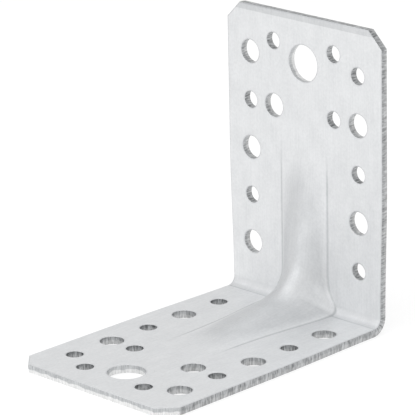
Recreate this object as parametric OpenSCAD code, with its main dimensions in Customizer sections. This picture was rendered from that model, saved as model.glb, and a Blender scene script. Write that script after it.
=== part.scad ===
// Reinforced angle bracket: one perforated steel sheet, folded to a right angle, with a stiffening
// rib pressed through the fold. Millimetres. X runs across the width. The mounting leg stands in the
// XZ plane at the back, the foot leg lies on z = 0 and reaches forward to -Y. The inside of the
// angle faces -Y and +Z. The origin is the middle of the bounding box in X and Y, at the bottom in Z.

/* [Sheet] */
// thickness of the steel sheet
sheet_t = 2.5; // [2:0.1:3]
// length of each leg, measured from the outer face of the other leg
leg_l = 90; // [88:1:110]
// width of the sheet at the leg ends
body_w = 60; // [58:1:72]
// inside radius of the fold
bend_r = 2.5; // [2:0.1:3.5]
// side length of the 45 degree cut at each outer corner
corner_cut = 5; // [3:0.5:7]
// how far each side edge is drawn in at the fold by the pressing of the rib
waist_in = 0.8; // [0.2:0.1:1.2]

/* [Holes] */
// diameter of the small nail holes
small_d = 5; // [4:0.1:5.6]
// diameter of the medium holes
medium_d = 7; // [6:0.1:8]
// diameter of the large bolt hole
large_d = 11; // [9:0.1:12]
// distance of each side column of holes from the centre line
column_x = 21; // [20:0.1:22.5]
// distance of the first row of holes from the outer face of the other leg
row_first = 17.4; // [16.5:0.1:18]
// spacing of the five rows of holes
row_pitch = 14.6; // [14.2:0.1:15]
// distance of the four inner holes from the centre line
inner_x = 11.7; // [11.2:0.1:12]
// how far the two outermost inner holes lie beyond the last row
outer_row = 4.8; // [4:0.1:6]

/* [Rib] */
// distance of the rib tip from the outer face of the other leg
rib_reach = 53; // [48:1:54]
// half width of the rib towards its tips
rib_half = 9; // [7:0.25:9.5]
// extra half width of the rib at the fold
rib_flare = 3.5; // [1:0.25:4]
// how far the extra width of the rib reaches up the mounting leg
flare_up = 3.5; // [2.5:0.5:10]
// how far the extra width of the rib reaches along the foot leg
flare_foot = 16; // [8:1:20]
// rise of the rib crest per millimetre along each leg
rib_slope = 0.16; // [0.1:0.01:0.2]
// radius of the rib crest where it turns the corner
rib_corner_r = 12; // [8:0.5:16]
// radius with which the rib crest runs out into the leg
rib_tip_r = 70; // [40:5:90]
// roundness of the rib nose, from a sharp roof at 0 to a flat arch at 1
rib_nose = 0.5; // [0.25:0.05:1]

/* [Hidden] */
root2 = sqrt(2);
cut_over = 2;
back_y = leg_l / 2;
bend_out = bend_r + sheet_t;
bend_turn = 90;
waist_half = body_w / 2 - waist_in;
waist_end = leg_l / 2;
waist_steps = 8;
last_row = row_first + 4 * row_pitch;
row_outer = last_row + outer_row;
row_inner = row_first + 3 * row_pitch;

// rib crest, as a curve in the diagonal frame: a is the distance along the diagonal of the angle,
// v the distance out from the outer corner line towards the inside of the angle
slope_deg = atan(rib_slope);
crest_deg = 45 - slope_deg;
tip_run = rib_tip_r * tan(slope_deg / 2);
knee_s = rib_reach - tip_run;
knee_a = (knee_s - sheet_t) / root2;
knee_v = root2 * sheet_t + knee_a;
tip_a = knee_a + tip_run / root2;
taper_a = knee_a - tip_run * cos(crest_deg);
crest_v = root2 * (sheet_t + rib_slope * knee_s) / (1 + rib_slope);
crest_m = (1 - rib_slope) / (1 + rib_slope);
corner_a = rib_corner_r * sin(crest_deg);
corner_v = crest_v + rib_corner_r / cos(crest_deg);
tip_cu = tip_a - rib_tip_r / root2;
tip_cv = root2 * sheet_t + tip_a + rib_tip_r / root2;
nose_span = sqrt(1 + rib_nose * rib_nose) - rib_nose;

// the pressed surface goes on below the sheet face past the crease and past the tip, so that it
// crosses the face cleanly: widest share of the half width, run past the tip, depth reached there
past_q = 1.2;
past_a = 1.5;
past_depth = 0.3;
bulge_dip = 1.0;
bulge_floor = 2.0;
hollow_back = 3;
step_n = 0.01;
// shares of the half width at which the surface is laid out, and its stations along the diagonal
rib_q = [0, 0.09, 0.18, 0.28, 0.39, 0.51, 0.64, 0.78, 0.93, 1.07, past_q];
fold_a = bend_r / root2;
rib_a = concat(
    [for (i = [0 : 3]) fold_a * i / 3],
    [for (i = [1 : 6]) fold_a + (corner_a - fold_a) * i / 6],
    [for (i = [1 : 7]) corner_a + (taper_a - corner_a) * i / 7],
    [for (i = [1 : 5]) taper_a + (tip_a - taper_a) * (i - 0.6) / 5],
    [tip_a + past_a]);
n_q = len(rib_q);
n_a = len(rib_a);
cols = 2 * n_q - 1;
rows = 2 * n_a - 1;
q_at = [for (j = [0 : cols - 1]) j < n_q - 1 ? -rib_q[n_q - 1 - j] : rib_q[j - n_q + 1]];
u_at = [for (i = [0 : rows - 1]) i < n_a - 1 ? -rib_a[n_a - 1 - i] : rib_a[i - n_a + 1]];

// inner face of the folded sheet, with its inside radius
function sheet_v(a) = a < bend_r / root2
    ? root2 * bend_out - sqrt(bend_r * bend_r - a * a)
    : root2 * sheet_t + a;
// crest of the rib: corner arc, straight taper, run-out arc, then the face of the leg
function crest_at(a) = a < corner_a ? corner_v - sqrt(rib_corner_r * rib_corner_r - a * a)
    : a < taper_a ? crest_v + a * crest_m
    : a < tip_a ? tip_cv - sqrt(rib_tip_r * rib_tip_r - (a - tip_cu) * (a - tip_cu))
    : root2 * sheet_t + a;
// half width of the rib; u is a with a minus sign on the mounting leg
function half_at(u) = rib_half + rib_flare * exp(-pow(u / (u < 0 ? flare_up : flare_foot), 2));
// section of the rib across its width: a roof with a rounded nose
function roof(q) = 1 - (sqrt(q * q + rib_nose * rib_nose) - rib_nose) / nose_span;
function past(q, a) = past_depth * max(0, (abs(q) - 1) / (past_q - 1), (a - tip_a) / past_a);
function lift(q, a) = roof(q) * (crest_at(a) - sheet_v(a)) - past(q, a);
// a point of the diagonal frame in the frame of the part
function placed(x, u, v) = [x, back_y - (v + u) / root2, (v - u) / root2];
function face_pt(q, u) = placed(q * half_at(u), u, sheet_v(abs(u)) + lift(q, abs(u)));
function unit(p) = p / norm(p);
function face_n(q, u) = unit(cross(face_pt(q, u + step_n) - face_pt(q, u - step_n),
    face_pt(q + step_n, u) - face_pt(q - step_n, u)));
function under_pt(q, u) = face_pt(q, u) - sheet_t * face_n(q, u);
function bulge_pt(q, u) = placed(q * half_at(u), u,
    sheet_v(abs(u)) + max(-bulge_dip, lift(q, abs(u))));

// closed skin over a grid of points: the grid on top, two rails of points below its long sides
function skin_faces(m, n) = concat(
    [for (i = [0 : m - 2], j = [0 : n - 2]) [i * n + j, i * n + j + 1, (i + 1) * n + j + 1]],
    [for (i = [0 : m - 2], j = [0 : n - 2]) [i * n + j, (i + 1) * n + j + 1, (i + 1) * n + j]],
    [for (i = [0 : m - 2]) [m * n + 2 * i, (i + 1) * n, m * n + 2 * i + 2]],
    [for (i = [0 : m - 2]) [m * n + 2 * i, i * n, (i + 1) * n]],
    [for (i = [0 : m - 2]) [m * n + 2 * i + 1, m * n + 2 * i + 3, (i + 1) * n + n - 1]],
    [for (i = [0 : m - 2]) [m * n + 2 * i + 1, (i + 1) * n + n - 1, i * n + n - 1]],
    [for (i = [0 : m - 2]) [m * n + 2 * i, m * n + 2 * i + 3, m * n + 2 * i + 1]],
    [for (i = [0 : m - 2]) [m * n + 2 * i, m * n + 2 * i + 2, m * n + 2 * i + 3]],
    [for (j = [0 : n - 2]) [m * n, j + 1, j]],
    [[m * n, m * n + 1, n - 1]],
    [for (j = [0 : n - 2]) [m * n + 2 * m - 2, (m - 1) * n + j, (m - 1) * n + j + 1]],
    [[m * n + 2 * m - 2, m * n - 1, m * n + 2 * m - 1]]);

// the metal the rib adds inside the angle; its floor lies within the thickness of the sheet
module rib_bulge() {
    top = [for (u = u_at, q = q_at) bulge_pt(q, u)];
    rails = [for (u = u_at, s = [-1, 1])
        placed(s * past_q * half_at(u), u, sheet_v(abs(u)) - bulge_floor)];
    polyhedron(points = concat(top, rails), faces = skin_faces(rows, cols), convexity = 6);
}

// the hollow left behind the rib, one sheet thickness below the pressed surface
module rib_hollow() {
    top = [for (u = u_at, q = q_at) under_pt(q, u)];
    rails = [for (u = u_at, s = [-1, 1])
        placed(s * past_q * half_at(u), u, abs(u) - hollow_back)];
    polyhedron(points = concat(top, rails), faces = skin_faces(rows, cols), convexity = 6);
}

// outline of one leg, from the end of the fold to the cut corners, drawn in towards the fold
function ease(f) = f * f * (3 - 2 * f);
function edge_half(s) = s >= waist_end ? body_w / 2
    : waist_half + waist_in * ease((s - bend_out) / (waist_end - bend_out));
module leg_outline() {
    side = concat(
        [for (i = [0 : waist_steps])
            let (s = bend_out + (waist_end - bend_out) * i / waist_steps) [edge_half(s), s]],
        [[body_w / 2, leg_l - corner_cut], [body_w / 2 - corner_cut, leg_l]]);
    other = [for (i = [len(side) - 1 : -1 : 0]) [-side[i][0], side[i][1]]];
    polygon(concat(side, other));
}

// one leg in its own plane, the fold at y = 0 and the sheet above z = 0
module leg() {
    linear_extrude(sheet_t) leg_outline();
}

// the holes of one leg in the same plane; medium and small holes alternate along both side columns
module leg_holes() {
    for (i = [0 : 4], side = [-1, 1])
        translate([side * column_x, row_first + i * row_pitch, -cut_over])
            cylinder(h = sheet_t + 2 * cut_over, d = side * (i % 2 - 0.5) > 0 ? medium_d : small_d, $fn = 48);
    translate([-inner_x, row_inner, -cut_over])
        cylinder(h = sheet_t + 2 * cut_over, d = medium_d, $fn = 48);
    translate([inner_x, row_inner, -cut_over])
        cylinder(h = sheet_t + 2 * cut_over, d = small_d, $fn = 48);
    for (side = [-1, 1])
        translate([side * inner_x, row_outer, -cut_over])
            cylinder(h = sheet_t + 2 * cut_over, d = small_d, $fn = 48);
    translate([0, last_row, -cut_over])
        cylinder(h = sheet_t + 2 * cut_over, d = large_d, $fn = 72);
}

// places a leg as the foot, and as the upright mounting leg; the foot is the same blank turned half
// a turn, which puts the larger holes of its first row on the other side
module as_foot() {
    translate([0, back_y, 0]) rotate([0, 0, 180]) children();
}
module as_upright() {
    translate([0, back_y, 0]) rotate([90, 0, 0]) children();
}

// the fold: a quarter turn of the sheet about the X direction
module fold() {
    translate([-waist_half, back_y - bend_out, bend_out])
        rotate([0, 90, 0])
            rotate_extrude(angle = bend_turn, $fn = 96)
                translate([bend_r, 0])
                    square([sheet_t, 2 * waist_half]);
}

// the folded, pressed and perforated sheet
module bracket() {
    color("#c9cccf")
        difference() {
            union() {
                as_foot() leg();
                as_upright() leg();
                fold();
                rib_bulge();
            }
            rib_hollow();
            as_foot() leg_holes();
            as_upright() leg_holes();
        }
}

bracket();
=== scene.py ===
import math
from collections import namedtuple

import bpy
from mathutils import Euler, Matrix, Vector
from mathutils.geometry import delaunay_2d_cdt


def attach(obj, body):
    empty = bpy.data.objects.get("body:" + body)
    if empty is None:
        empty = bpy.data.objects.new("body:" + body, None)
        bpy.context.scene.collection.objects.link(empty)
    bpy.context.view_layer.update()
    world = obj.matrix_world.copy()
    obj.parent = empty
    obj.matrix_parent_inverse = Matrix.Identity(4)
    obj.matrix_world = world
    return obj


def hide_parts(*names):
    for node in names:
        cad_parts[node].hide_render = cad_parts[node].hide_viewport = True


# A reinforced angle bracket of zinc-coated steel on a white studio floor.
# One sheet, sheared, punched, folded to a right angle and pressed with a rib through the fold.
# Values are in millimetres and the meshes are in metres.

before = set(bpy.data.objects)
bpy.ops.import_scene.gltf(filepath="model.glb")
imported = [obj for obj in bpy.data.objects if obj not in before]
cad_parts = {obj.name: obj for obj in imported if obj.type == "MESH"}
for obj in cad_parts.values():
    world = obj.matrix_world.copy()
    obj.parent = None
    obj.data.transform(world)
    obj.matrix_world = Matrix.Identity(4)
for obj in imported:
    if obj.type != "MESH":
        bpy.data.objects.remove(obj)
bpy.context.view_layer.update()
bpy.ops.object.select_all(action="DESELECT")

MM = 0.001
ROOT2 = math.sqrt(2)

# sizes of the sheet, the same as the solid's
SHEET_T = 2.5
LEG_L = 90.0
BODY_W = 60.0
BEND_R = 2.5
CORNER_CUT = 5.0
WAIST_IN = 0.8
BACK_Y = LEG_L / 2
BEND_OUT = BEND_R + SHEET_T
WAIST_END = LEG_L / 2

# the end of a leg in the flat blank, measured from the fold
LEG_END = LEG_L - SHEET_T

# the thickness drawn, a little under the real one so that the mesh stays within the solid
DRAWN_T = 2.498

# holes of one leg: diameters, distances of the columns from the centre line, and rows, which are
# measured from the other leg's outer face; the outer nails lie OUTER_ROW past the last row
SMALL_D = 5.0
MEDIUM_D = 7.0
LARGE_D = 11.0
COLUMN_X = 21.0
ROW_FIRST = 17.4
ROW_PITCH = 14.6
ROW_COUNT = 5
INNER_X = 11.7
OUTER_ROW = 4.8
ROW_INNER = ROW_FIRST + (ROW_COUNT - 2) * ROW_PITCH
ROW_LAST = ROW_FIRST + (ROW_COUNT - 1) * ROW_PITCH

# the rib: how far it reaches along a leg, its half width, how much wider it is at the fold and
# over what length of each leg, the slope of its crest, the radii at its corner and its tip, the
# roundness of its crest as a share of the half width, and the radius along its crease
RIB_REACH = 53.0
RIB_HALF = 9.0
RIB_FLARE = 3.5
FLARE_UP = 3.5
FLARE_FOOT = 16.0
RIB_SLOPE = 0.16
RIB_CORNER_R = 12.0
RIB_TIP_R = 70.0
RIB_NOSE = 0.5
CREASE_R = 0.5

# derived curve of the rib crest, along the diagonal of the angle
SLOPE_TURN = math.atan(RIB_SLOPE)
CREST_TURN = math.pi / 4 - SLOPE_TURN
TIP_RUN = RIB_TIP_R * math.tan(SLOPE_TURN / 2)
KNEE_S = RIB_REACH - TIP_RUN
KNEE_A = (KNEE_S - SHEET_T) / ROOT2
TIP_A = KNEE_A + TIP_RUN / ROOT2
TAPER_A = KNEE_A - TIP_RUN * math.cos(CREST_TURN)
CREST_V = ROOT2 * (SHEET_T + RIB_SLOPE * KNEE_S) / (1 + RIB_SLOPE)
CREST_M = (1 - RIB_SLOPE) / (1 + RIB_SLOPE)
CORNER_A = RIB_CORNER_R * math.sin(CREST_TURN)
CORNER_V = CREST_V + RIB_CORNER_R / math.cos(CREST_TURN)
TIP_CU = TIP_A - RIB_TIP_R / ROOT2
TIP_CV = ROOT2 * SHEET_T + TIP_A + RIB_TIP_R / ROOT2

# derived section of the rib, a hyperbola: its fall from crest to crease, and its slope at the crease
NOSE_SPAN = math.sqrt(1 + RIB_NOSE ** 2) - RIB_NOSE
CREASE_SLOPE = 1 / (math.sqrt(1 + RIB_NOSE ** 2) * NOSE_SPAN)

# sheared edges: how deep and how wide the face rolls over, and how far the torn half leans back
EDGE_ROLL = (0.2, 0.9)
HOLE_ROLL = (0.16, 0.55)
TEAR_LEAN = 0.14

# share of a wall's depth within which a point belongs to one of its two faces
ON_FACE = 0.1

# how light each cut is painted, between a shaded and a lit copy of its colour: most, as painted light, at
# the foot's end, and least, as painted shade, at the top end and in a small punched hole; the sides and
# the larger holes lie between
LIT_FOOT_END = 1.0
LIT_SIDE = 0.4
LIT_TOP_END = 0.3
LIT_HOLE = {SMALL_D: 0.3, MEDIUM_D: 0.5, LARGE_D: 0.9}

# the painted light of a side changes to that of the end within this length
LIT_STEP = 0.5

# a strip of painted shade under the top edge: its depth, and its distance from the fold
TOP_SHADE_DEPTH = 1.75
TOP_SHADE_FROM = LEG_END - TOP_SHADE_DEPTH

# height of the rib at which the dark line along its crease, part tool mark and part painted shade, is full
LINE_FULL_HEIGHT = 1.2

# distance that stands for no line near, on the rib itself
LINE_FAR = 9.0

# mesh along a cut: distances of its rows of points from it, and the points round a hole
RING_AT = (0.0, 0.05, 0.15, 0.3, 0.55, 0.9, 1.4)
RING_END = RING_AT[-1]
HOLE_STEPS = 56

# mesh of the rib and fold: rows across them, which go on a little past the rib's tip
ROW_FINE = 0.3
ROW_COARSE = 0.6
FINE_END = 4.2
FOLD_ROWS = (2.35, 2.5, 2.65)
TIP_MARGIN = 2.0

# columns over the rib, up to RIB_SPREAD times its half width, with more of them at its crease
RIB_COLUMNS = 26
RIB_SPREAD = 1.3
CREASE_COLUMNS = (0.97, 0.985, 1.015, 1.03)

# steps along the fold beside the rib, and along the waist of the sides
FOLD_STEP = 1.0
WAIST_STEP = 3.0

# a short step over the face, from which its direction is worked out
FACE_STEP = 0.01

# points of the blank that are closer than this are one
SAME_POINT = 1e-5

# edges that turn by less than this, in degrees, are shaded smooth
SMOOTH_TURN = 36

# patterns of the zinc coat: width, length along the rolling, and detail and roughness of the noise
COAT_PATTERNS = {
    "rolling lines": (0.4, 14, 3.0, 0.5),
    "cloud": (4.5, 7, 4.0, 0.6),
    "specks": (0.7, 0.9, 2.0, 0.5),
}

# patterns of a cut: width, how often it changes through the sheet, and detail and roughness
# of the noise
CUT_PATTERNS = {
    "score": (0.45, 0.9, 3.0, 0.65),
    "blotch": (2.4, 0.5, 2.0, 0.5),
}

# values of a noise that count as the least and the most of its pattern
NOISE_LOW = 0.3
NOISE_HIGH = 0.7

# how much each of these darkens the coat, as a share of the step from its pale to its dark colour
DARKENS = {
    "rolling lines": 0.1,
    "cloud": 0.14,
    "specks": 0.13,
    # the rest: darker where the rib stands higher, painted shade beside a cut, along the bend and under
    # the top edge, and the crease lines, part tool mark and part painted shade
    "pressing": 0.36,
    "cut": 0.4,
    "bend": 0.36,
    "top_edge_shade": 0.34,
    "die_mark_and_shade": 0.55,
}

# heights of the rib at which it starts to darken the coat and darkens it in full
PRESS_FROM = 0.1
PRESS_FULL = 1.8

# how far from a cut its painted shade reaches, and the length within which the painted shade under the top
# edge fades
CUT_REACH = 0.5
TOP_SHADE_FADE = 0.15

# the painted shade of the bend is darkest this near its middle, pale this far past its arc, and gone
# where the rib stands this high
BEND_CORE = 0.8
BEND_PAST = 0.5
BEND_RIB_H = 1.5

# the dark lines along the rib's crease and the fold, part tool mark and part painted shade: half widths
# where each is full and where it ends, and how strong the fold's is
CREASE_LINE = (0.08, 0.5)
FOLD_LINE = (0.05, 0.4)
FOLD_LINE_SHARE = 0.8

# roughness of the coat, least and most, and of the two bands of a cut
COAT_ROUGH = (0.53, 0.58)
BURNISHED_ROUGH = 0.38
TORN_ROUGH = 0.58

# bumps of the coat and of a cut: how strong and how high
COAT_BUMP = (0.5, 0.01)
CUT_BUMP = (0.6, 0.03)

# how far the line between the bands of a cut wanders, and where the torn band starts and is full,
# all as shares of the sheet's thickness
BAND_SHIFT = 0.12
TORN_FROM = 0.48
TORN_FULL = 0.6

# values of the score between which a cut goes from its dark to its pale colour
FLECK_LOW = 0.34
FLECK_HIGH = 0.64

# sockets of a Mix node of colours: its share and two colours, and its result
MIX_SHARE = 0
MIX_FIRST = 6
MIX_SECOND = 7
MIX_RESULT = 2

# camera, as solved from the holes of the photograph: place, turn in degrees, lens, sensor and reach
CAMERA_AT = (606.4, -607.37, 323.37)
CAMERA_TURN = (71.9003, 1.1546, 44.4579)
CAMERA_LENS = 278.87
CAMERA_SENSOR = 36.0
CAMERA_REACH = 20000.0

# the floor, the glow of its paper where it is seen, and the strength of the white surround
FLOOR_SIZE = 6000.0
PAPER_GLOW = 0.64
SURROUND = 0.82

# soft square lamps, all aimed at one point: place and power in watts
LAMP_SIZE = 700
LAMP_AIM = (0, 0, 40)
LAMPS = {
    "softbox_top": ((-30, -30, 940), 1.0),
    "softbox_key": ((-420, -420, 670), 1.0),
    "softbox_front": ((0, -860, 380), 1.7),
    "softbox_right": ((860, 60, 380), 1.54),
}

# a point of the flat blank: place, distance to its cut, RING_END at most, how far the face has
# rolled over there, the step that leads away from the cut, and the painted light and shade of its cut
BlankPoint = namedtuple("BlankPoint", "x f gap drop inward_x inward_f smear")


def set_camera():
    bpy.ops.object.camera_add(
        location=Vector(CAMERA_AT) * MM,
        rotation=Euler([math.radians(a) for a in CAMERA_TURN]),
    )
    camera = bpy.context.object
    camera.name = "camera"
    camera.data.sensor_fit = "HORIZONTAL"
    camera.data.sensor_width = CAMERA_SENSOR
    camera.data.lens = CAMERA_LENS
    camera.data.clip_end = CAMERA_REACH * MM
    bpy.context.scene.camera = camera


def linear(hex_colour):
    """An sRGB hex colour as linear values with alpha."""
    parts = [int(hex_colour[i:i + 2], 16) / 255 for i in (1, 3, 5)]
    return [c / 12.92 if c <= 0.04045 else ((c + 0.055) / 1.055) ** 2.4 for c in parts] + [1.0]


def add_node(tree, kind, inputs=None, **settings):
    """Adds a node with its settings; an input given as a socket is linked, another is its value."""
    node = tree.nodes.new(kind)
    for name, value in settings.items():
        setattr(node, name, value)
    for name, value in (inputs or {}).items():
        if isinstance(value, bpy.types.NodeSocket):
            tree.links.new(value, node.inputs[name])
        else:
            node.inputs[name].default_value = value
    return node


def new_material(name):
    material = bpy.data.materials.new(name)
    material.use_nodes = True
    material.node_tree.nodes.clear()
    return material, material.node_tree


# the folded and pressed surface
# u runs across the corner from the upright to the foot, v from the corner's outer edge into the
# angle, and a is u without its sign

def fold_line(a):
    """Inner face of the folded sheet, with its inside radius."""
    if a < BEND_R / ROOT2:
        return ROOT2 * BEND_OUT - math.sqrt(BEND_R ** 2 - a * a)
    return ROOT2 * SHEET_T + a


def crest_line(a):
    """Crest of the rib: corner arc, straight taper, run-out arc, then the face of the leg."""
    if a < CORNER_A:
        return CORNER_V - math.sqrt(RIB_CORNER_R ** 2 - a * a)
    if a < TAPER_A:
        return CREST_V + a * CREST_M
    if a < TIP_A:
        return TIP_CV - math.sqrt(RIB_TIP_R ** 2 - (a - TIP_CU) ** 2)
    return ROOT2 * SHEET_T + a


def rib_half_width(u):
    reach = FLARE_UP if u < 0 else FLARE_FOOT
    return RIB_HALF + RIB_FLARE * math.exp(-(u / reach) ** 2)


def rib_height(u):
    """How far the crest stands out of the folded sheet."""
    return max(0.0, crest_line(abs(u)) - fold_line(abs(u)))


def pressed_height(x, u):
    """How far the rib stands out of the folded sheet, with a small radius along its crease."""
    half = rib_half_width(u)
    height = rib_height(u)
    q = x / half
    rise = height * (1 - (math.sqrt(q * q + RIB_NOSE ** 2) - RIB_NOSE) / NOSE_SPAN)
    blend = CREASE_R / 2 * (CREASE_SLOPE * height / half) ** 2
    if rise >= blend:
        return max(0.0, rise)
    if rise <= -blend:
        return 0.0
    return (rise + blend) ** 2 / (4 * blend)


def on_face(x, f):
    """The place on the inner face of a point of the flat blank; f is 0 at the fold."""
    u = f / ROOT2
    v = fold_line(abs(u)) + pressed_height(x, u)
    return Vector((x, BACK_Y - (v + u) / ROOT2, (v - u) / ROOT2))


# where the crease lines lie, which are part tool mark and part painted shade
def mark_and_shade_line(x, f):
    """Distances to the rib's crease and to the foot's end of the fold, and how hard the crease is."""
    u = f / ROOT2
    off = abs(x) - rib_half_width(u)
    hard = min(1.0, rib_height(u) / LINE_FULL_HEIGHT)
    to_fold = BEND_R - f if off > 0 else LINE_FAR
    return (off, to_fold, hard)


# the flat blank

def edge_half(s):
    """Half width of the sheet, drawn in towards the fold; s is 0 at the other leg's outer face."""
    if s >= WAIST_END:
        return BODY_W / 2
    share = max(0.0, (s - BEND_OUT) / (WAIST_END - BEND_OUT))
    return BODY_W / 2 - WAIST_IN + WAIST_IN * share * share * (3 - 2 * share)


def steps(start, end, step):
    """Values from start to end, both kept, at equal steps close to the one asked for."""
    count = max(1, round(abs(end - start) / step))
    return [start + (end - start) * i / count for i in range(count + 1)]


def both_ways(values):
    return sorted({-value for value in values} | set(values))


def blank_outline():
    """The sheared outline, anticlockwise."""
    side_f = steps(0, FINE_END, ROW_FINE) + steps(FINE_END, WAIST_END - SHEET_T, WAIST_STEP)[1:]
    side_f = both_ways(side_f + [LEG_END - CORNER_CUT - LIT_STEP, LEG_END - CORNER_CUT])
    right = [(edge_half(abs(f) + SHEET_T), f) for f in side_f]
    left = [(-x, f) for x, f in reversed(right)]
    cut_x = BODY_W / 2 - CORNER_CUT
    return right + [(cut_x, LEG_END), (-cut_x, LEG_END)] + left + [(-cut_x, -LEG_END), (cut_x, -LEG_END)]


# painted light on the foot's end, painted shade on the sides and the top end
def outline_cut_light(f):
    if abs(f) < LEG_END - CORNER_CUT:
        return LIT_SIDE
    return LIT_FOOT_END if f > 0 else LIT_TOP_END


def leg_holes(turn, way):
    """Centre and diameter of each hole of one leg. turn is -1 where the leg is turned about, and
    way is -1 on the upright, where f is below 0."""
    holes = []
    for i in range(ROW_COUNT):
        for side in (-1, 1):
            size = MEDIUM_D if (side > 0) == (i % 2 == 1) else SMALL_D
            holes.append((side * COLUMN_X, ROW_FIRST + i * ROW_PITCH, size))
    holes.append((-INNER_X, ROW_INNER, MEDIUM_D))
    holes.append((INNER_X, ROW_INNER, SMALL_D))
    holes.append((-INNER_X, ROW_LAST + OUTER_ROW, SMALL_D))
    holes.append((INNER_X, ROW_LAST + OUTER_ROW, SMALL_D))
    holes.append((0.0, ROW_LAST, LARGE_D))
    return [(turn * x, way * (s - SHEET_T), size) for x, s, size in holes]


HOLES = leg_holes(1, -1) + leg_holes(-1, 1)


def roll_drop(gap, roll):
    """How far a face has rolled over at a distance from its sheared edge: a quarter ellipse."""
    depth, width = roll
    if gap >= width:
        return 0.0
    return depth * (1 - math.sqrt(1 - (1 - gap / width) ** 2))


def loop_inwards(points):
    """At each corner of an anticlockwise loop, the step that moves both its sides in by 1."""
    result = []
    count = len(points)
    for i, (x, f) in enumerate(points):
        before = Vector((x, f)) - Vector(points[i - 1])
        after = Vector(points[(i + 1) % count]) - Vector((x, f))
        n1 = Vector((-before.y, before.x)).normalized()
        n2 = Vector((-after.y, after.x)).normalized()
        result.append((n1 + n2) / (1 + n1.dot(n2)))
    return result


def blank_points():
    """Points of the flat blank, and the lines between them that its mesh has to keep."""
    points = []
    lines = []

    def add_loop(corners, inwards, roll, cut_lights):
        for gap in RING_AT:
            first = len(points)
            drop = roll_drop(gap, roll)
            for corner, inward, smear in zip(corners, inwards, cut_lights):
                place = Vector(corner) + inward * gap
                points.append(BlankPoint(place.x, place.y, gap, drop, inward.x, inward.y, smear))
            lines.extend((first + i, first + (i + 1) % len(corners)) for i in range(len(corners)))

    def add_inner(x, f):
        points.append(BlankPoint(x, f, RING_END, 0.0, 0.0, 0.0, LIT_SIDE))

    outline = blank_outline()
    add_loop(outline, loop_inwards(outline), EDGE_ROLL, [outline_cut_light(f) for _, f in outline])
    for x, f, size in HOLES:
        turns = [2 * math.pi * i / HOLE_STEPS for i in range(HOLE_STEPS)]
        away = [Vector((math.cos(t), math.sin(t))) for t in turns]
        rim = [(x + a.x * size / 2, f + a.y * size / 2) for a in away]
        add_loop(rim, away, HOLE_ROLL, [LIT_HOLE[size]] * HOLE_STEPS)

    fine = steps(0, FINE_END, ROW_FINE) + list(FOLD_ROWS)
    coarse = steps(FINE_END, RIB_REACH - SHEET_T + TIP_MARGIN, ROW_COARSE)[1:]
    for f in both_ways(fine + coarse):
        crease = rib_half_width(f / ROOT2)
        half = crease * RIB_SPREAD
        columns = [half * i / RIB_COLUMNS for i in range(RIB_COLUMNS + 1)]
        columns += [crease * share for share in CREASE_COLUMNS]
        for x in both_ways(columns):
            add_inner(x, f)
        if abs(f) <= FINE_END:
            limit = BODY_W / 2 - WAIST_IN - RING_END - FOLD_STEP / 2
            for x in steps(half + FOLD_STEP / 2, limit, FOLD_STEP):
                add_inner(x, f)
                add_inner(-x, f)
    return points, lines


def in_outline(x, f, outline):
    inside = False
    for i, (x1, f1) in enumerate(outline):
        x0, f0 = outline[i - 1]
        if (f0 > f) != (f1 > f) and x < x0 + (x1 - x0) * (f - f0) / (f1 - f0):
            inside = not inside
    return inside


def in_hole(x, f):
    return any(math.hypot(x - hx, f - hf) < size / 2 for hx, hf, size in HOLES)


# values kept on the points of a mesh

def set_floats(mesh, name, values):
    layer = mesh.attributes.new(name, "FLOAT", "POINT")
    layer.data.foreach_set("value", values)


def set_vectors(mesh, name, values):
    layer = mesh.attributes.new(name, "FLOAT_VECTOR", "POINT")
    layer.data.foreach_set("vector", [c for value in values for c in value])


def get_floats(mesh, name):
    values = [0.0] * len(mesh.vertices)
    mesh.attributes[name].data.foreach_get("value", values)
    return values


def get_vectors(mesh, name):
    flat = [0.0] * (3 * len(mesh.vertices))
    mesh.attributes[name].data.foreach_get("vector", flat)
    return [Vector(flat[i:i + 3]) for i in range(0, len(flat), 3)]


# the bracket

def make_sheet():
    """The punched blank, folded and pressed, as one face without thickness."""
    points, lines = blank_points()
    result = delaunay_2d_cdt([Vector((p.x, p.f)) for p in points], lines, [], 0, SAME_POINT)
    places, triangles, sources = result[0], result[2], result[3]
    outline = blank_outline()
    kept = []
    for a, b, c in triangles:
        middle = (places[a] + places[b] + places[c]) / 3
        if in_outline(middle.x, middle.y, outline) and not in_hole(middle.x, middle.y):
            # turned round, so that the face points into the angle
            kept.append((a, c, b))
    used = sorted({i for face in kept for i in face})
    index = {old: new for new, old in enumerate(used)}
    blank = [points[sources[i][0]] for i in used]
    faces = [[index[i] for i in face] for face in kept]

    mesh = bpy.data.meshes.new("bracket_sheet")
    mesh.from_pydata([on_face(p.x, p.f) * MM for p in blank], [], faces)
    outs = []
    inwards = []
    for p in blank:
        along_x = on_face(p.x + FACE_STEP, p.f) - on_face(p.x - FACE_STEP, p.f)
        along_f = on_face(p.x, p.f + FACE_STEP) - on_face(p.x, p.f - FACE_STEP)
        outs.append(along_f.cross(along_x).normalized())
        inner = on_face(p.x + p.inward_x * FACE_STEP, p.f + p.inward_f * FACE_STEP)
        inwards.append((inner - on_face(p.x, p.f)) / FACE_STEP)
    set_floats(mesh, "edge_gap", [p.gap for p in blank])
    set_floats(mesh, "drop", [p.drop for p in blank])
    # how light each cut is painted: painted light on the foot's end, painted shade elsewhere
    set_floats(mesh, "painted_cut_light", [p.smear for p in blank])
    set_floats(mesh, "wall_depth", [0.0] * len(blank))
    set_floats(mesh, "pressed", [pressed_height(p.x, p.f / ROOT2) for p in blank])
    # distances to the crease lines, part tool mark and part painted shade
    set_vectors(mesh, "mark_and_shade_line", [mark_and_shade_line(p.x, p.f) for p in blank])
    set_vectors(mesh, "blank_place", [(p.x, p.f, 0.0) for p in blank])
    set_vectors(mesh, "out", outs)
    set_vectors(mesh, "inward", inwards)
    piece = bpy.data.objects.new("bracket_sheet", mesh)
    bpy.context.collection.objects.link(piece)
    return piece


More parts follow.
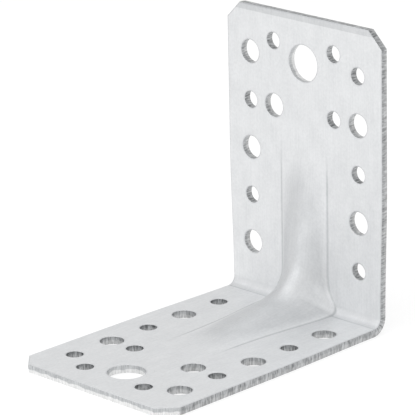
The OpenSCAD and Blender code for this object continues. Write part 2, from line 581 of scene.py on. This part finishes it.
def give_thickness(piece):
    """Adds the sheet's thickness behind the inner face; the walls take the second material."""
    face_count = len(piece.data.vertices)
    bpy.ops.object.select_all(action="DESELECT")
    bpy.context.view_layer.objects.active = piece
    piece.select_set(True)
    bpy.ops.object.modifier_add(type="SOLIDIFY")
    wall = piece.modifiers[-1]
    wall.thickness = DRAWN_T * MM
    wall.offset = -1.0
    wall.use_even_offset = True
    wall.use_quality_normals = True
    wall.material_offset_rim = 1
    bpy.ops.object.modifier_apply(modifier=wall.name)
    depth = [0.0 if i < face_count else 1.0 for i in range(len(piece.data.vertices))]
    piece.data.attributes["wall_depth"].data.foreach_set("value", depth)


def split_walls(piece):
    """Cuts each wall halfway through the sheet, so that it has two bands."""
    mesh = piece.data
    gap = get_floats(mesh, "edge_gap")
    depth = get_floats(mesh, "wall_depth")
    bpy.ops.object.mode_set(mode="EDIT")
    bpy.ops.mesh.select_mode(type="EDGE")
    bpy.ops.mesh.select_all(action="DESELECT")
    bpy.ops.object.mode_set(mode="OBJECT")
    for edge in mesh.edges:
        a, b = edge.vertices
        edge.select = gap[a] == 0 and gap[b] == 0 and depth[a] != depth[b]
    bpy.ops.object.mode_set(mode="EDIT")
    bpy.ops.mesh.subdivide(number_cuts=1)
    bpy.ops.object.mode_set(mode="OBJECT")


def shear_edges(piece):
    """Rolls the inner face over at each cut and leans the torn band back."""
    mesh = piece.data
    gap = get_floats(mesh, "edge_gap")
    depth = get_floats(mesh, "wall_depth")
    drop = get_floats(mesh, "drop")
    out = get_vectors(mesh, "out")
    inward = get_vectors(mesh, "inward")
    for i, vertex in enumerate(mesh.vertices):
        if depth[i] < ON_FACE:
            vertex.co -= out[i] * drop[i] * MM
        elif depth[i] > 1 - ON_FACE:
            vertex.co += inward[i] * TEAR_LEAN * (1 - gap[i] / RING_END) * MM
    for name in ("drop", "out", "inward"):
        mesh.attributes.remove(mesh.attributes[name])
    bpy.ops.object.shade_smooth_by_angle(angle=math.radians(SMOOTH_TURN))


# materials

def zinc_coated_steel():
    """Cold-rolled sheet with a thin zinc coat: a pale, dull satin, drawn in fine lines along the
    rolling direction and cloudy at a few millimetres. It is darker where the rib stands higher.
    Painted shade darkens it along the bend, beside each cut where the face rolls over, and in a
    strip under the top edge. A thin dark line along the rib's crease and the foot's end of the
    fold is partly the mark of the press tool's edge and partly painted shade.
    The rolling lines are drawn about twice as coarse as real ones, so that they show."""
    material, tree = new_material("zinc_coated_steel")
    place = add_node(tree, "ShaderNodeAttribute", attribute_name="blank_place").outputs["Vector"]
    gap = add_node(tree, "ShaderNodeAttribute", attribute_name="edge_gap").outputs["Fac"]
    pressed = add_node(tree, "ShaderNodeAttribute", attribute_name="pressed").outputs["Fac"]
    lines = add_node(tree, "ShaderNodeAttribute", attribute_name="mark_and_shade_line").outputs["Vector"]
    noise = {}
    for pattern, (width, length, detail, roughness) in COAT_PATTERNS.items():
        sized = add_node(tree, "ShaderNodeMapping", {"Vector": place, "Scale": (1 / width, 1 / length, 1)})
        noise[pattern] = add_node(tree, "ShaderNodeTexNoise", {
            "Vector": sized.outputs[0], "Scale": 1.0, "Detail": detail,
            "Roughness": roughness}).outputs["Fac"]

    # two thin dark lines along the rib's crease and the fold, part tool mark and part painted shade, each
    # as a share from 0 to 1
    parts = add_node(tree, "ShaderNodeSeparateXYZ", {0: lines})
    off = add_node(tree, "ShaderNodeMath", {0: parts.outputs["X"]}, operation="ABSOLUTE")
    on_crease = add_node(tree, "ShaderNodeMapRange", {
        "Value": off.outputs[0], "From Min": CREASE_LINE[0], "From Max": CREASE_LINE[1],
        "To Min": 1.0, "To Max": 0.0})
    crease = add_node(tree, "ShaderNodeMath", {
        0: on_crease.outputs[0], 1: parts.outputs["Z"]}, operation="MULTIPLY")
    away = add_node(tree, "ShaderNodeMath", {0: parts.outputs["Y"]}, operation="ABSOLUTE")
    on_fold = add_node(tree, "ShaderNodeMapRange", {
        "Value": away.outputs[0], "From Min": FOLD_LINE[0], "From Max": FOLD_LINE[1],
        "To Min": FOLD_LINE_SHARE, "To Max": 0.0})
    mark_and_shade = add_node(tree, "ShaderNodeMath", {
        0: crease.outputs[0], 1: on_fold.outputs[0]}, operation="MAXIMUM")

    # painted shade along the bend, on the sheet beside the rib
    level = add_node(tree, "ShaderNodeSeparateXYZ", {0: place})
    across = add_node(tree, "ShaderNodeMath", {0: level.outputs["Y"]}, operation="ABSOLUTE")
    on_arc = add_node(tree, "ShaderNodeMapRange", {
        "Value": across.outputs[0], "From Min": BEND_CORE, "From Max": BEND_R + BEND_PAST,
        "To Min": DARKENS["bend"], "To Max": 0.0})
    beside = add_node(tree, "ShaderNodeMapRange", {
        "Value": pressed, "From Min": 0.0, "From Max": BEND_RIB_H, "To Min": 1.0, "To Max": 0.0})

    # how dark the coat is, from 0 to 1
    darkening = []
    for pattern in COAT_PATTERNS:
        darkening.append(add_node(tree, "ShaderNodeMapRange", {
            "Value": noise[pattern], "From Min": NOISE_LOW, "From Max": NOISE_HIGH,
            "To Min": 0.0, "To Max": DARKENS[pattern]}))
    # darker where the rib stands higher
    darkening.append(add_node(tree, "ShaderNodeMapRange", {
        "Value": pressed, "From Min": PRESS_FROM, "From Max": PRESS_FULL,
        "To Min": 0.0, "To Max": DARKENS["pressing"]}))
    # painted shade beside each cut, where the face rolls over
    darkening.append(add_node(tree, "ShaderNodeMapRange", {
        "Value": gap, "From Min": 0.0, "From Max": CUT_REACH,
        "To Min": DARKENS["cut"], "To Max": 0.0}))
    # painted shade along the bend
    darkening.append(add_node(tree, "ShaderNodeMath", {
        0: on_arc.outputs[0], 1: beside.outputs[0]}, operation="MULTIPLY"))
    # painted shade in a strip under the top edge
    darkening.append(add_node(tree, "ShaderNodeMapRange", {
        "Value": level.outputs["Y"], "From Min": -TOP_SHADE_FROM, "From Max": TOP_SHADE_FADE - TOP_SHADE_FROM,
        "To Min": DARKENS["top_edge_shade"], "To Max": 0.0}))
    # the crease lines, part tool mark and part painted shade
    darkening.append(add_node(tree, "ShaderNodeMath", {
        0: mark_and_shade.outputs[0], 1: DARKENS["die_mark_and_shade"]}, operation="MULTIPLY"))
    tone = darkening[0]
    for layer in darkening[1:]:
        tone = add_node(tree, "ShaderNodeMath", {
            0: tone.outputs[0], 1: layer.outputs[0]}, operation="ADD")

    colour = add_node(tree, "ShaderNodeMix", {
        MIX_SHARE: tone.outputs[0], MIX_FIRST: linear("#ecedee"), MIX_SECOND: linear("#bbbdbf")},
        data_type="RGBA")
    rough = add_node(tree, "ShaderNodeMapRange", {
        "Value": noise["cloud"], "From Min": NOISE_LOW, "From Max": NOISE_HIGH,
        "To Min": COAT_ROUGH[0], "To Max": COAT_ROUGH[1]})
    relief = add_node(tree, "ShaderNodeMath", {
        0: noise["specks"], 1: noise["rolling lines"]}, operation="ADD")
    strength, height = COAT_BUMP
    bump = add_node(tree, "ShaderNodeBump", {
        "Height": relief.outputs[0], "Strength": strength, "Distance": height * MM})
    shader = add_node(tree, "ShaderNodeBsdfPrincipled", {
        "Metallic": 1.0, "Base Color": colour.outputs[MIX_RESULT], "Roughness": rough.outputs[0],
        "Normal": bump.outputs[0]})
    add_node(tree, "ShaderNodeOutputMaterial", {"Surface": shader.outputs["BSDF"]})
    return material


def sheared_steel():
    """The cut through the sheet: a burnished band scored through the thickness by the punch, then a
    paler, rougher band where the steel tore. Each cut is painted between this pale, lit colour and a
    dark, shaded copy: painted light on the foot's end, painted shade on the sides and the top end,
    and in the holes painted shade that is deeper the smaller the hole."""
    material, tree = new_material("sheared_steel")
    place = add_node(tree, "ShaderNodeAttribute", attribute_name="blank_place").outputs["Vector"]
    depth = add_node(tree, "ShaderNodeAttribute", attribute_name="wall_depth").outputs["Fac"]
    # how light the cut is painted: painted light and shade
    smear = add_node(tree, "ShaderNodeAttribute", attribute_name="painted_cut_light").outputs["Fac"]
    through = add_node(tree, "ShaderNodeCombineXYZ", {"Z": depth})
    spot = add_node(tree, "ShaderNodeVectorMath", {0: place, 1: through.outputs[0]}, operation="ADD")
    noise = {}
    for pattern, (width, changes, detail, roughness) in CUT_PATTERNS.items():
        sized = add_node(tree, "ShaderNodeMapping", {
            "Vector": spot.outputs[0], "Scale": (1 / width, 1 / width, changes)})
        noise[pattern] = add_node(tree, "ShaderNodeTexNoise", {
            "Vector": sized.outputs[0], "Scale": 1.0, "Detail": detail,
            "Roughness": roughness}).outputs["Fac"]

    # the two bands, with a line between them that wanders
    shift = add_node(tree, "ShaderNodeMapRange", {
        "Value": noise["blotch"], "From Min": NOISE_LOW, "From Max": NOISE_HIGH,
        "To Min": -BAND_SHIFT, "To Max": BAND_SHIFT})
    edge = add_node(tree, "ShaderNodeMath", {0: depth, 1: shift.outputs[0]}, operation="ADD")
    torn = add_node(tree, "ShaderNodeMapRange", {
        "Value": edge.outputs[0], "From Min": TORN_FROM, "From Max": TORN_FULL,
        "To Min": 0.0, "To Max": 1.0})
    fleck = add_node(tree, "ShaderNodeMapRange", {
        "Value": noise["score"], "From Min": FLECK_LOW, "From Max": FLECK_HIGH,
        "To Min": 0.0, "To Max": 1.0})
    burnished = add_node(tree, "ShaderNodeMix", {
        MIX_SHARE: fleck.outputs[0], MIX_FIRST: linear("#b0b2b4"), MIX_SECOND: linear("#ced0d1")},
        data_type="RGBA")
    broken = add_node(tree, "ShaderNodeMix", {
        MIX_SHARE: fleck.outputs[0], MIX_FIRST: linear("#dfe0e0"), MIX_SECOND: linear("#f4f4f4")},
        data_type="RGBA")
    # the cut's own colour, as lit
    lit_cut = add_node(tree, "ShaderNodeMix", {
        MIX_SHARE: torn.outputs[0], MIX_FIRST: burnished.outputs[MIX_RESULT],
        MIX_SECOND: broken.outputs[MIX_RESULT]}, data_type="RGBA")
    # a dark copy of the cut's colour: painted shade
    shaded_cut = add_node(tree, "ShaderNodeMix", {
        MIX_SHARE: fleck.outputs[0], MIX_FIRST: linear("#343638"), MIX_SECOND: linear("#bcbec0")},
        data_type="RGBA")
    # painted light and shade: each cut is mixed between the shaded and the lit copy
    colour = add_node(tree, "ShaderNodeMix", {
        MIX_SHARE: smear, MIX_FIRST: shaded_cut.outputs[MIX_RESULT],
        MIX_SECOND: lit_cut.outputs[MIX_RESULT]}, data_type="RGBA")
    rough = add_node(tree, "ShaderNodeMapRange", {
        "Value": torn.outputs[0], "From Min": 0.0, "From Max": 1.0,
        "To Min": BURNISHED_ROUGH, "To Max": TORN_ROUGH})
    strength, height = CUT_BUMP
    bump = add_node(tree, "ShaderNodeBump", {
        "Height": noise["score"], "Strength": strength, "Distance": height * MM})
    shader = add_node(tree, "ShaderNodeBsdfPrincipled", {
        "Metallic": 1.0, "Base Color": colour.outputs[MIX_RESULT], "Roughness": rough.outputs[0],
        "Normal": bump.outputs[0]})
    add_node(tree, "ShaderNodeOutputMaterial", {"Surface": shader.outputs["BSDF"]})
    return material


def white_paper():
    """Matt white paper; seen directly or in the steel it is the white ground of the photograph,
    and it keeps a faint shadow."""
    material, tree = new_material("white_paper")
    paper = add_node(tree, "ShaderNodeBsdfDiffuse", {"Color": linear("#ececec")})
    pale = add_node(tree, "ShaderNodeBsdfDiffuse", {"Color": linear("#a8a8a8")})
    glow = add_node(tree, "ShaderNodeEmission", {"Color": linear("#ffffff"), "Strength": PAPER_GLOW})
    lit = add_node(tree, "ShaderNodeAddShader", {0: pale.outputs[0], 1: glow.outputs[0]})
    path = add_node(tree, "ShaderNodeLightPath")
    seen = add_node(tree, "ShaderNodeMath", {
        0: path.outputs["Is Camera Ray"], 1: path.outputs["Is Glossy Ray"]}, operation="MAXIMUM")
    both = add_node(tree, "ShaderNodeMixShader", {
        0: seen.outputs[0], 1: paper.outputs[0], 2: lit.outputs[0]})
    add_node(tree, "ShaderNodeOutputMaterial", {"Surface": both.outputs[0]})
    return material


# the studio

def add_softbox(name, place, power):
    bpy.ops.object.light_add(type="AREA", location=Vector(place) * MM)
    lamp = bpy.context.object
    lamp.name = name
    lamp.data.shape = "SQUARE"
    lamp.data.size = LAMP_SIZE * MM
    lamp.data.energy = power
    aim = Vector(LAMP_AIM) * MM - lamp.location
    lamp.rotation_euler = aim.to_track_quat("-Z", "Y").to_euler()


def set_surround():
    world = bpy.data.worlds.new("studio")
    bpy.context.scene.world = world
    world.use_nodes = True
    world.node_tree.nodes.clear()
    sky = add_node(world.node_tree, "ShaderNodeBackground", {
        "Color": linear("#ffffff"), "Strength": SURROUND})
    add_node(world.node_tree, "ShaderNodeOutputWorld", {"Surface": sky.outputs[0]})


set_camera()

sheet = make_sheet()
sheet.data.materials.append(zinc_coated_steel())
sheet.data.materials.append(sheared_steel())
give_thickness(sheet)
split_walls(sheet)
shear_edges(sheet)
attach(sheet, "root")
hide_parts("bracket")

bpy.ops.mesh.primitive_plane_add(size=FLOOR_SIZE * MM, location=(0, 0, 0))
floor = bpy.context.object
floor.name = "floor"
floor.data.materials.append(white_paper())

for name, (place, power) in LAMPS.items():
    add_softbox(name, place, power)
set_surround()

bpy.context.scene.view_settings.view_transform = "Standard"
